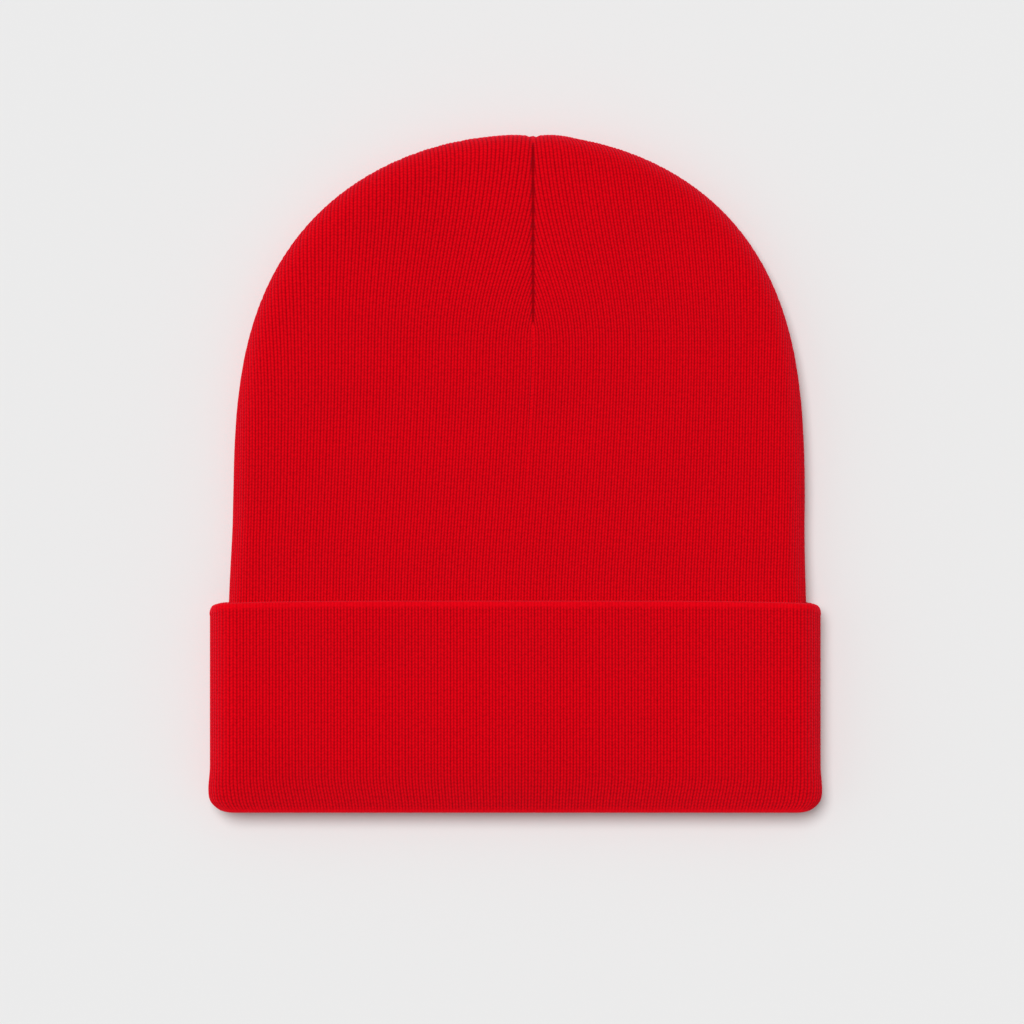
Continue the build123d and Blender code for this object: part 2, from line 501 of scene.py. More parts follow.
    def warp(self, x: np.ndarray, y: np.ndarray) -> np.ndarray:
        """Lean the whole body a little to the right, as it lies, and carry the dart with it.

        Args:
            x: places across, on a hat that is even on both sides.
            y: heights.

        Returns:
            The places across after the lean.
        """
        drift = self.shoulder_drift * smooth_step(y, self.hem - self.drift_below_hem, self.hem)
        drift = drift + (self.crown_drift - self.shoulder_drift) * smooth_step(y, self.hem, 0.0)
        drift = drift + self.crown_drift * np.clip(y / self.apex, 0, 1) ** 2
        bend = smooth_step(y, self.hem - self.bend_below_hem, self.dart_tip)
        middle = (self.dart_x - drift) * bend
        share = np.clip(np.abs(x) / np.maximum(self.half_width(y), self.narrowest_bend), 0, 1)
        return x + drift + middle * (1 - share**2)

    def sag(self, y: np.ndarray) -> np.ndarray:
        """How far the front sinks towards the mouth, where nothing holds the plies up."""
        return self.sag_height * (1 - smooth_step(y, self.fold, self.fold + self.sag_reach))

    def wave(self, x: np.ndarray, y: np.ndarray) -> np.ndarray:
        """Slow rise and fall of the front face; inside the cuff it depends on x alone.

        Args:
            x: places across.
            y: heights.

        Returns:
            How much higher the face lies.
        """
        free = smooth_step(y, self.hem, self.hem + self.wave_rise)
        across, up = self.wave_rate
        spots = zip(x * across, y * up * free)
        waves = np.array([noise.noise(Vector((a, b, self.wave_slice))) for a, b in spots])
        return self.wave_height * waves * (self.wave_in_cuff + (1 - self.wave_in_cuff) * free)


@dataclass
class PlyPoints:
    """Vertices of a ply, with what the knit needs at each of them.

    Outward is the direction in which the ribs stand up. Wale is counted round the tube, and
    course along the wale. Rib is how fully the rib stands, 0 to 1, and seam the distance from
    the nearest dart seam.
    """

    points: np.ndarray
    outward: np.ndarray
    wale: np.ndarray
    course: np.ndarray
    rib: np.ndarray
    seam: np.ndarray


@dataclass
class PlyMesh:
    """Gathers the grids of one ply and makes its closed mesh."""

    name: str
    merge_distance: float = 0.002 * MM
    parts: list[PlyPoints] = field(default_factory=list)
    faces: list[tuple[int, ...]] = field(default_factory=list)
    count: int = 0

    def add_points(self, part: PlyPoints) -> np.ndarray:
        """Add vertices and give their numbers."""
        self.parts.append(part)
        self.count += len(part.points)
        return np.arange(self.count - len(part.points), self.count)

    def _joined(self, name: str) -> np.ndarray:
        """Give one of the vertices' values for the whole ply."""
        return np.concatenate([getattr(part, name) for part in self.parts])

    def add_grid(self, numbers: np.ndarray, flip: bool) -> None:
        """Add the quads and triangles of a grid whose columns may end early.

        Args:
            numbers: vertex numbers, one row of the array for each column of the cloth; a number
                that repeats marks a column that has ended.
            flip: turn the faces round.
        """
        a, b = numbers[:-1, :-1].ravel(), numbers[1:, :-1].ravel()
        c, d = numbers[1:, 1:].ravel(), numbers[:-1, 1:].ravel()
        for corners in np.stack([a, b, c, d], axis=1).tolist():
            kept = [v for i, v in enumerate(corners) if v != corners[i - 1]]
            if len(kept) > 2:
                self.faces.append(tuple(reversed(kept)) if flip else tuple(kept))

    def build(self) -> bpy.types.Object:
        """Make the mesh, with its wale and course map, and join the grids' shared edges."""
        mesh = bpy.data.meshes.new(self.name)
        mesh.from_pydata(self._joined("points").tolist(), [], self.faces)
        for name in ("wale", "rib", "seam"):
            store = mesh.attributes.new(name, "FLOAT", "POINT")
            store.data.foreach_set("value", self._joined(name).astype(np.float32))
        outward = mesh.attributes.new("outward", "FLOAT_VECTOR", "POINT")
        outward.data.foreach_set("vector", self._joined("outward").astype(np.float32).ravel())
        corners = np.zeros(len(mesh.loops), dtype=np.int32)
        mesh.loops.foreach_get("vertex_index", corners)
        uv = np.stack([self._joined("wale")[corners], self._joined("course")[corners]], axis=1)
        mesh.uv_layers.new(name=UV_NAME).data.foreach_set("uv", uv.astype(np.float32).ravel())
        work = bmesh.new()
        work.from_mesh(mesh)
        bmesh.ops.remove_doubles(work, verts=work.verts, dist=self.merge_distance)
        for face in work.faces:
            face.smooth = True
        work.to_mesh(mesh)
        work.free()
        piece = bpy.data.objects.new(self.name, mesh)
        bpy.context.scene.collection.objects.link(piece)
        return piece


# ---- geometry trees ------------------------------------------------------------------------------


def start_tree(name: str, sizes: tuple[str, ...]) -> tuple[bpy.types.NodeTree, dict[Any, Any]]:
    """Start a geometry tree that takes a mesh, sizes and a material.

    Args:
        name: the tree's name.
        sizes: names of its inputs for sizes.

    Returns:
        The tree, and the output sockets that give its inputs, by name.
    """
    tree = bpy.data.node_groups.new(name, "GeometryNodeTree")
    kinds = {"Geometry": "NodeSocketGeometry", **dict.fromkeys(sizes, "NodeSocketFloat")}
    kinds["Material"] = "NodeSocketMaterial"
    for socket, kind in kinds.items():
        tree.interface.new_socket(socket, in_out="INPUT", socket_type=kind)
    tree.interface.new_socket("Geometry", in_out="OUTPUT", socket_type="NodeSocketGeometry")
    given = add_node(tree, "NodeGroupInput")
    return tree, {socket: given.outputs[socket] for socket in kinds}


def read_attributes(tree: bpy.types.NodeTree, known: dict[Any, Any], kinds: dict[str, str]) -> None:
    """Read attributes of the mesh into a geometry tree.

    Args:
        tree: the tree.
        known: output sockets by name, to which the attributes are added.
        kinds: Blender's data type for each attribute.
    """
    for name, kind in kinds.items():
        reader = add_node(tree, "GeometryNodeInputNamedAttribute", {"data_type": kind}, {"Name": name})
        known[name] = reader.outputs["Attribute"]


def end_tree(tree: bpy.types.NodeTree, geometry: bpy.types.NodeSocket, finish: Any) -> None:
    """End a geometry tree with real, smooth geometry in its material.

    Args:
        tree: the tree.
        geometry: output socket with what it has made.
        finish: output socket with its material.
    """
    real = add_node(tree, "GeometryNodeRealizeInstances", inputs={"Geometry": geometry})
    smooth = add_node(tree, "GeometryNodeSetShadeSmooth", inputs={"Geometry": real.outputs[0]})
    inputs = {"Geometry": smooth.outputs[0], "Material": finish}
    dressed = add_node(tree, "GeometryNodeSetMaterial", inputs=inputs)
    add_node(tree, "NodeGroupOutput", inputs={"Geometry": dressed.outputs[0]})


def rib_relief_tree(groove_sharpness: float = 4.0, leg_sharpness: float = 5.0) -> bpy.types.NodeTree:
    """Build the geometry tree that sinks the grooves between and within the wales.

    Args:
        groove_sharpness: how narrow the groove between two wales is.
        leg_sharpness: how narrow the groove between a wale's two legs is.

    Returns:
        The tree.
    """
    tree, known = start_tree("rib_relief", ("Groove Depth", "Leg Depth"))
    read_attributes(tree, known, {"wale": "FLOAT", "rib": "FLOAT", "outward": "FLOAT_VECTOR"})
    recipe = {
        "angle": ("MULTIPLY", "wale", math.pi),
        "groove wave": ("COSINE", "angle"),
        "groove width": ("ABSOLUTE", "groove wave"),
        "between": ("POWER", "groove width", groove_sharpness),
        "leg wave": ("SINE", "angle"),
        "leg width": ("ABSOLUTE", "leg wave"),
        "within": ("POWER", "leg width", leg_sharpness),
        "groove": ("MULTIPLY", "between", "Groove Depth"),
        "depth": ("MULTIPLY_ADD", "within", "Leg Depth", "groove"),
        "standing depth": ("MULTIPLY", "depth", "rib"),
        "sink": ("MULTIPLY", "standing depth", -1.0),
    }
    add_steps(tree, known, recipe)
    inputs = {0: known["outward"], "Scale": known["sink"]}
    offset = add_node(tree, "ShaderNodeVectorMath", {"operation": "SCALE"}, inputs)
    inputs = {"Geometry": known["Geometry"], "Offset": offset.outputs[0]}
    moved = add_node(tree, "GeometryNodeSetPosition", inputs=inputs)
    end_tree(tree, moved.outputs[0], known["Material"])
    return tree


def overlock_tree(loop_sides: int = 10, thread_sides: int = 5) -> bpy.types.NodeTree:
    """Build the geometry tree that lays a loop of thread at each point of a row.

    Args:
        loop_sides: straight sides that a loop is made of.
        thread_sides: sides of the thread's section.

    Returns:
        The tree.
    """
    tree, known = start_tree("overlock_stitches", ("Stitch Length", "Stitch Width", "Thread Radius"))
    read_attributes(tree, known, {"heading": "FLOAT_VECTOR", "outward": "FLOAT_VECTOR"})
    inputs = {0: known["Stitch Length"], 1: known["Stitch Width"], 2: 1.0}
    size = add_node(tree, "ShaderNodeCombineXYZ", inputs=inputs)
    circle = "GeometryNodeCurvePrimitiveCircle"
    ring = add_node(tree, circle, inputs={"Resolution": loop_sides, "Radius": 0.5})
    inputs = {"Geometry": ring.outputs[0], "Scale": size.outputs[0]}
    oval = add_node(tree, "GeometryNodeTransform", inputs=inputs)
    inputs = {"Resolution": thread_sides, "Radius": known["Thread Radius"]}
    section = add_node(tree, circle, inputs=inputs)
    inputs = {"Curve": oval.outputs[0], "Profile Curve": section.outputs[0]}
    stitch = add_node(tree, "GeometryNodeCurveToMesh", inputs=inputs)
    axes = {"primary_axis": "X", "secondary_axis": "Z"}
    inputs = {0: known["heading"], 1: known["outward"]}
    turn = add_node(tree, "FunctionNodeAxesToRotation", axes, inputs)
    inputs = {"Points": known["Geometry"], "Instance": stitch.outputs[0], "Rotation": turn.outputs[0]}
    row = add_node(tree, "GeometryNodeInstanceOnPoints", inputs=inputs)
    end_tree(tree, row.outputs[0], known["Material"])
    return tree


# ---- finishes ------------------------------------------------------------------------------------


@dataclass(frozen=True)
class RibKnitAcrylic:
    """Worsted acrylic yarn, dyed bright red and machine-knit in fine rib.

    The eye gets matt V-shaped loops with shade painted into their colour where light can't reach,
    between and within the wales and along the dart seams, and a faint pink bloom of loose fibres
    where the cloth turns away.
    """

    yarn: str = "#EE0415"
    painted_shade_and_tone: str = "#98020A"
    bloom: str = "#FF4A62"
    roughness: float = 0.9
    sheen: float = 0.7
    sheen_roughness: float = 0.5
    crease_shade_width: float = 0.5 * MM
    slant: float = 1.1
    stitch_height: float = 0.22 * MM
    fibre_size: float = 0.18 * MM
    patches_per_metre: float = 28.0
    leg_roundness: float = 0.6
    bead_roundness: float = 0.7
    bead_share: float = 0.45
    groove_painted_shade: float = 0.15
    loop_shade: float = 1.1
    stitch_rate: float = 0.9
    stitch_unevenness: float = 0.55
    patchiness: float = 0.12
    bump_on_flat: float = 0.3
    fibre_bump: float = 0.35
    uneven_bump: float = 0.3

    def _recipe(self) -> dict[str, tuple]:
        """Give the steps from place in the knit to how much shade is painted into the colour, with the
        stitches' random tone, and how high the bump is.

        A loop is two legs side by side, each a string of beads on a slant, so that they make a V.
        """
        return {
            "place in wale": ("FRACT", "wale"),
            "off centre": ("SUBTRACT", "place in wale", 0.5),
            "from centre": ("ABSOLUTE", "off centre"),
            "leg angle": ("MULTIPLY", "wale", 2 * math.pi),
            "leg wave": ("SINE", "leg angle"),
            "leg": ("ABSOLUTE", "leg wave"),
            "round leg": ("POWER", "leg", self.leg_roundness),
            "slanted": ("MULTIPLY_ADD", "from centre", self.slant, "course"),
            "bead angle": ("MULTIPLY", "slanted", math.pi),
            "bead wave": ("SINE", "bead angle"),
            "bead": ("ABSOLUTE", "bead wave"),
            "round bead": ("POWER", "bead", self.bead_roundness),
            "bead height": ("MULTIPLY_ADD", "round bead", self.bead_share, 1 - self.bead_share),
            "loop": ("MULTIPLY", "round leg", "bead height"),
            # Painted shade: the hollows between the legs and beads of each loop get a darker colour where
            # the rib stands, a little more in the grooves between wales.
            "groove angle": ("MULTIPLY", "wale", math.pi),
            "groove wave": ("COSINE", "groove angle"),
            "groove": ("MULTIPLY", "groove wave", "groove wave"),
            "light": ("MULTIPLY_ADD", "groove", self.groove_painted_shade, 1 - self.groove_painted_shade),
            "standing": ("MULTIPLY", "rib", "light"),
            "hollow": ("SUBTRACT", 1.0, "loop"),
            "loop depth": ("MULTIPLY", "hollow", "standing"),
            "loop painted shade": ("MULTIPLY", "loop depth", self.loop_shade),
            "uneven middle": ("SUBTRACT", "uneven", 0.5),
            "painted shade and uneven tone": ("MULTIPLY_ADD", "uneven middle", self.stitch_unevenness, "loop painted shade"),
            "patch middle": ("SUBTRACT", "patches", 0.5),
            "painted shade and patchy tone": ("MULTIPLY_ADD", "patch middle", self.patchiness, "painted shade and uneven tone"),
            # Painted shade along the dart seams' creases, darkest on the seam and fading within about half
            # a millimetre.
            "seam widths": ("DIVIDE", "seam", self.crease_shade_width),
            "seam square": ("POWER", "seam widths", 2.0),
            "seam fall": ("MULTIPLY", "seam square", -1.0),
            "crease": ("EXPONENT", "seam fall"),
            "depth": ("ADD", "painted shade and patchy tone", "crease"),
            "relief": ("MULTIPLY_ADD", "rib", 1 - self.bump_on_flat, self.bump_on_flat),
            "loop bump": ("MULTIPLY", "loop", "relief"),
            "fibre bump": ("MULTIPLY_ADD", "fibres", self.fibre_bump, "loop bump"),
            "height": ("MULTIPLY_ADD", "uneven", self.uneven_bump, "fibre bump"),
        }

    def build(self) -> bpy.types.Material:
        """Make the material; it reads the ply's own wale and course map."""
        material = bpy.data.materials.new("rib_knit_dyed_acrylic")
        material.use_nodes = True
        tree = material.node_tree
        shader = tree.nodes["Principled BSDF"]
        loops = add_node(tree, "ShaderNodeUVMap", {"uv_map": UV_NAME})
        parts = add_node(tree, "ShaderNodeSeparateXYZ", inputs={0: loops.outputs[0]})
        known: dict[Any, Any] = {"wale": parts.outputs[0], "course": parts.outputs[1]}
        for name in ("rib", "seam"):
            reader = add_node(tree, "ShaderNodeAttribute", {"attribute_name": name})
            known[name] = reader.outputs["Fac"]
        add_steps(tree, known, {"leg number": ("MULTIPLY", "wale", 2.0)})
        stitch = add_node(
            tree, "ShaderNodeCombineXYZ", inputs={0: known["leg number"], 1: known["course"]}
        )
        place = add_node(tree, "ShaderNodeTexCoord").outputs["Object"]
        noises = {
            "uneven": {"Vector": stitch.outputs[0], "Scale": self.stitch_rate, "Detail": 1.0},
            "fibres": {"Vector": place, "Scale": 1 / (4 * self.fibre_size), "Detail": 2.0},
            "patches": {"Vector": place, "Scale": self.patches_per_metre, "Detail": 2.0},
        }
        for name, inputs in noises.items():
            known[name] = add_node(tree, "ShaderNodeTexNoise", inputs=inputs).outputs[0]
        add_steps(tree, known, self._recipe())
        # The yarn's colour is mixed towards its painted shade colour by the painted shade and by the
        # stitches' random tone.
        inputs = {"Factor": known["depth"], 6: linear_colour(self.yarn), 7: linear_colour(self.painted_shade_and_tone)}
        colour = add_node(tree, "ShaderNodeMix", {"data_type": "RGBA"}, inputs)
        tree.links.new(colour.outputs[2], shader.inputs["Base Color"])
        inputs = {"Strength": 1.0, "Distance": self.stitch_height, "Height": known["height"]}
        bump = add_node(tree, "ShaderNodeBump", inputs=inputs)
        tree.links.new(bump.outputs[0], shader.inputs["Normal"])
        shader.inputs["Roughness"].default_value = self.roughness
        shader.inputs["Specular IOR Level"].default_value = 0.0
        shader.inputs["Sheen Weight"].default_value = self.sheen
        shader.inputs["Sheen Roughness"].default_value = self.sheen_roughness
        shader.inputs["Sheen Tint"].default_value = linear_colour(self.bloom)
        return material


@dataclass(frozen=True)
class SpunPolyesterThread:
    """Spun polyester sewing thread, dyed to match the yarn.

    The eye gets a slightly darker, smoother red than the wool-like yarn, with a fine twist.
    """

    dye: str = "#B4081A"
    fleck: str = "#7E0612"
    roughness: float = 0.55
    twist_size: float = 0.3 * MM
    twist_height: float = 0.05 * MM

    def build(self) -> bpy.types.Material:
        """Make the material; it reads object coordinates."""
        material = bpy.data.materials.new("spun_polyester_thread")
        material.use_nodes = True
        tree = material.node_tree
        shader = tree.nodes["Principled BSDF"]
        place = add_node(tree, "ShaderNodeTexCoord")
        twist = add_node(
            tree,
            "ShaderNodeTexNoise",
            inputs={"Vector": place.outputs["Object"], "Scale": 1 / self.twist_size, "Detail": 1.0},
        )
        colour = add_node(
            tree,
            "ShaderNodeMix",
            {"data_type": "RGBA"},
            {"Factor": twist.outputs[0], 6: linear_colour(self.dye), 7: linear_colour(self.fleck)},
        )
        bump = add_node(
            tree, "ShaderNodeBump", inputs={"Distance": self.twist_height, "Height": twist.outputs[0]}
        )
        tree.links.new(colour.outputs[2], shader.inputs["Base Color"])
        tree.links.new(bump.outputs[0], shader.inputs["Normal"])
        shader.inputs["Roughness"].default_value = self.roughness
        return material


# ---- pieces --------------------------------------------------------------------------------------


@dataclass
class BodyPly:
    """One ply of the hat's body: a pouch whose shown face carries the ribs."""

    node: str
    form: BodyForm
    cloth: RibCloth
    shown_inset: float
    hidden_inset: float
    columns_per_wale: int
    row_spacing: float = 4.4 * MM
    crown_row_spacing: float = 2.3 * MM
    hidden_row_spacing: float = 20.0 * MM
    top_margin: float = 0.3 * MM

    @property
    def shown_side(self) -> int:
        """Side that is shown: 1 faces out of the hat, -1 into it."""
        return 1 if self.shown_inset < self.hidden_inset else -1

    def _columns(self, paths: tuple, rows: np.ndarray) -> tuple[np.ndarray, ...]:
        """Cut the columns of a panel into rows, each up to the dart or the rim that ends it.

        Args:
            paths: heights, places across and ends of the panel's columns.
            rows: heights of the rows.

        Returns:
            By column and row, the places across, the heights and which points belong on the
            rim, and by column its last row.
        """
        heights, across, ends = paths
        each = np.arange(len(ends))
        along = np.minimum(rows[None, :], ends[:, None])
        last = np.argmax(rows[None, :] >= ends[:, None] - NEAR, axis=1)
        is_last = np.arange(len(rows))[None, :] == last[:, None]
        places = np.stack([np.interp(along[c], heights, across[:, c]) for c in each])
        places = np.clip(places, 0, self.form.panel_width(along))
        ended_on_rim = places[each, last] > self.form.seam_margin / 2
        reached_rim = ended_on_rim | (ends > heights[-1] - self.top_margin)
        on_rim = is_last & reached_rim[:, None]
        on_rim[-1] = True
        places = np.where(is_last & ~ended_on_rim[:, None], 0, places)
        first_past_dart = np.argmax(ended_on_rim)
        places[first_past_dart, last[first_past_dart]] = 0
        return places, along, on_rim, last

    def _panel(
        self, mesh: PlyMesh, columns: tuple, face: Face, hand: Hand, inset: float, rib: float
    ) -> np.ndarray:
        """Add one face of one panel of the ply.

        Args:
            mesh: mesh that gets the vertices.
            columns: places across, heights, rim marks and last rows.
            face: front or back.
            hand: right or left half.
            inset: depth below the body's outer surface.
            rib: how fully the rib stands.

        Returns:
            Vertex numbers, a row of the array for each column.
        """
        places, heights, on_rim, last = columns
        keep = np.arange(places.shape[1])[None, :] <= last[:, None]
        across, along = places[keep], heights[keep]
        points, outward, stand = self.form.place(across, along, on_rim[keep], face, hand)
        wale = self.cloth.wale_numbers(face, hand, len(places), self.columns_per_wale)
        part = PlyPoints(
            points=points - outward * inset,
            outward=outward * self.shown_side,
            wale=np.broadcast_to(wale[:, None], keep.shape)[keep],
            course=along / self.cloth.course,
            rib=rib * stand,
            seam=self.form.seam_distance(across, along),
        )
        table = np.full(keep.shape, -1)
        table[keep] = mesh.add_points(part)
        ended = table[np.arange(len(places)), last]
        return np.where(keep, table, ended[:, None])

    def build(self, relief: bpy.types.NodeTree, finish: bpy.types.Material) -> bpy.types.Object:
        """Make the ply, from mouth to crown.

        Args:
            relief: geometry tree that sinks the grooves.
            finish: the cloth's material.

        Returns:
            The finished piece.
        """
        mesh = PlyMesh(f"{self.node}_knit")
        paths = self.form.wale_paths(self.cloth.wales_per_panel * self.columns_per_wale)
        bottom, top = paths[0][0], paths[0][-1]
        shoulder = self.form.lean_start
        low = np.linspace(bottom, shoulder, round((shoulder - bottom) / self.row_spacing), endpoint=False)
        high = np.linspace(shoulder, top, round((top - shoulder) / self.crown_row_spacing))
        close = self._columns(paths, np.concatenate([low, high]))
        sparse_rows = np.linspace(bottom, top, round((top - bottom) / self.hidden_row_spacing))
        sparse = self._columns(paths, sparse_rows)
        for face in Face:
            for hand in Hand:
                turned = face.value * hand.value * self.shown_side < 0
                shown = self._panel(mesh, close, face, hand, self.shown_inset, 1.0)
                hidden = self._panel(mesh, sparse, face, hand, self.hidden_inset, 0.0)
                mesh.add_grid(shown, turned)
                mesh.add_grid(hidden, not turned)
                mesh.add_grid(np.stack([hidden[:, 0], shown[:, 0]], axis=1), turned)
        piece = mesh.build()
        apply_tree(piece, relief, self.cloth.relief_inputs(finish))
        self._declare()
        return piece

    def _declare(self) -> None:
        """Work out the ply's shrink from the outer surface; the result is not used.

        The ply was cut as a tube, less the wedges that the darts and crown cut away.
        """
        shrink = 1 - (self.shown_inset + self.hidden_inset) / 2 / self.form.half_width(self.form.hem)


@dataclass
class CuffPly:
    """One ply of the turned-up cuff: a closed profile carried round the body."""

    node: str
    form: BodyForm
    cloth: RibCloth
    columns_per_wale: int
    rests_on: str
    wall_middle: float = 1.6 * MM
    body_gap: float = 0.4 * MM
    roll_slack: float = 1.0 * MM
    corner_pull: float = 6.0 * MM
    pull_sharpness: int = 7
    corner_height: float = 5.0 * MM
    top_width: float = 5.0 * MM
    top_drop: float = 2.4 * MM
    gather: float = 0.03
    gather_evenness: int = 4
    gather_height: float = 13.0 * MM
    side_swell: float = 0.3 * MM
    foot_flare: float = 0.8 * MM
    foot_height: float = 16.0 * MM
    hem_droop: float = 1.1 * MM
    droop_sharpness: int = 5
    droop_reach: float = 20.0 * MM
    fold_drop: float = 0.8 * MM

    @property
    def roll_radius(self) -> float:
        """Outer radius of the bottom fold, which goes round both plies with some air."""
        return (self.form.cuff_proud + 2 * self.cloth.thickness + self.roll_slack) / 2

    def _place(
        self, across: np.ndarray, y: np.ndarray, offset: np.ndarray, face: Face, hand: Hand
    ) -> tuple[np.ndarray, np.ndarray]:
        """Set profile points round the body.

        Args:
            across: distances from the middle of the face, unrolled at the middle of the wall.
            y: heights.
            offset: distances out from the body's surface.
            face: front or back.
            hand: right or left half.

        Returns:
            Points and the directions straight out of the body there.
        """
        form = self.form
        radius = (form.top - form.cuff_proud) / 2
        middle = form.cuff_proud + radius
        flat = form.band_half_width - radius
        gathered = self.gather * (1 - smooth_step(y, form.fold, form.fold + self.gather_height))
        across = across * (1 - gathered * (1 - (across / across.max()) ** self.gather_evenness))
        angle = np.clip((across - flat) / (radius + self.wall_middle), 0, math.pi / 2)
        x = np.minimum(across, flat) + (radius + offset) * np.sin(angle)
        z = middle + face.value * (radius + offset) * np.cos(angle)
        edge = np.clip(x / (form.band_half_width + form.cuff_proud), 0, 1)
        low = np.clip(1 - (y - form.fold) / self.corner_height, 0, 1)
        inset = form.band_half_width + form.cuff_proud - x
        corner = 1 - np.sqrt(1 - np.clip(1 - inset / self.top_width, 0, 1) ** 2)
        pull = self.corner_pull * (1 - np.sqrt(1 - low**2))
        foot = 1 - smooth_step(y, form.fold + self.corner_height, form.fold + self.foot_height)
        pull = pull - self.side_swell - self.foot_flare * foot
        x = x - pull * edge**self.pull_sharpness
        droop = self.hem_droop * edge**self.droop_sharpness + self.top_drop * corner
        y = y - droop * smooth_step(y, form.hem - self.droop_reach, form.hem)
        y = y - self.fold_drop * (1 - smooth_step(y, form.fold, form.fold + self.gather_height))
        if face is Face.FRONT:
            rise = form.wave(x * hand.value, np.full_like(x, form.hem)) - form.sag(y)
            z = z + np.cos(angle) ** 2 * rise
        radial = [np.sin(angle) * hand.value, np.zeros_like(x), face.value * np.cos(angle)]
        return np.stack([x * hand.value, y, z], axis=1), np.stack(radial, axis=1)

    def _sweep(
        self, profile: np.ndarray, rib: np.ndarray, relief: bpy.types.NodeTree, finish: bpy.types.Material
    ) -> bpy.types.Object:
        """Carry a closed profile round the body.

        Args:
            profile: points of height and offset, going round the ply's section with the clock
                as seen with the mouth on the left and the outside of the cuff on top.
            rib: how fully the rib stands at each point of the profile.
            relief: geometry tree that sinks the grooves.
            finish: the cloth's material.

        Returns:
            The finished piece.
        """
        profile = np.concatenate([profile, profile[:1]])
        rib = np.concatenate([rib, rib[:1]])
        tangent = np.roll(profile[:-1], -1, axis=0) - np.roll(profile[:-1], 1, axis=0)
        tangent = np.concatenate([tangent, tangent[:1]])
        tangent /= np.linalg.norm(tangent, axis=1, keepdims=True)
        steps = np.linalg.norm(np.diff(profile, axis=0), axis=1)
        course = np.concatenate([[0], np.cumsum(steps)]) / self.cloth.course
        columns = self.cloth.wales_per_panel * self.columns_per_wale + 1
        radius = (self.form.top - self.form.cuff_proud) / 2
        quarter = self.form.band_half_width - radius + math.pi / 2 * (radius + self.wall_middle)
        across = np.repeat(np.linspace(0, quarter, columns), len(profile))
        heights, offsets = np.tile(profile, (columns, 1)).T
        turned = np.tile(tangent, (columns, 1))
        mesh = PlyMesh(f"{self.node}_knit")
        for face in Face:
            for hand in Hand:
                points, radial = self._place(across, heights, offsets, face, hand)
                outward = radial * turned[:, :1]
                outward[:, 1] = -turned[:, 1]
                wale = self.cloth.wale_numbers(face, hand, columns, self.columns_per_wale)
                part = PlyPoints(
                    points=points,
                    outward=outward,
                    wale=np.repeat(wale, len(profile)),
                    course=np.tile(course, columns),
                    rib=np.tile(rib, columns),
                    seam=np.full(len(points), self.form.seam_far),
                )
                numbers = mesh.add_points(part).reshape(columns, -1)
                mesh.add_grid(numbers, face.value * hand.value < 0)
        piece = mesh.build()
        apply_tree(piece, relief, self.cloth.relief_inputs(finish))
        return piece


def arc(
    centre: tuple[float, float], radii: tuple[float, float], turn: tuple[float, float], count: int
) -> np.ndarray:
    """Give points of an elliptical arc.

    Args:
        centre: height and offset of its centre.
        radii: its half axes.
        turn: first and last angle in degrees.
        count: number of points, both ends included.

    Returns:
        The points.
    """
    angles = np.radians(np.linspace(turn[0], turn[1], count))
    return np.stack([centre[0] + radii[0] * np.cos(angles), centre[1] + radii[1] * np.sin(angles)], axis=1)


def level(start: float, end: float, offset: float, count: int) -> np.ndarray:
    """Give evenly spaced points of a straight stretch, its start left out.

    Args:
        start: height where the stretch before it ends.
        end: height of its last point.
        offset: its distance out from the body.
        count: number of points.

    Returns:
        The points.
    """
    heights = np.linspace(start, end, count + 1)[1:]
    return np.stack([heights, np.full(count, offset)], axis=1)


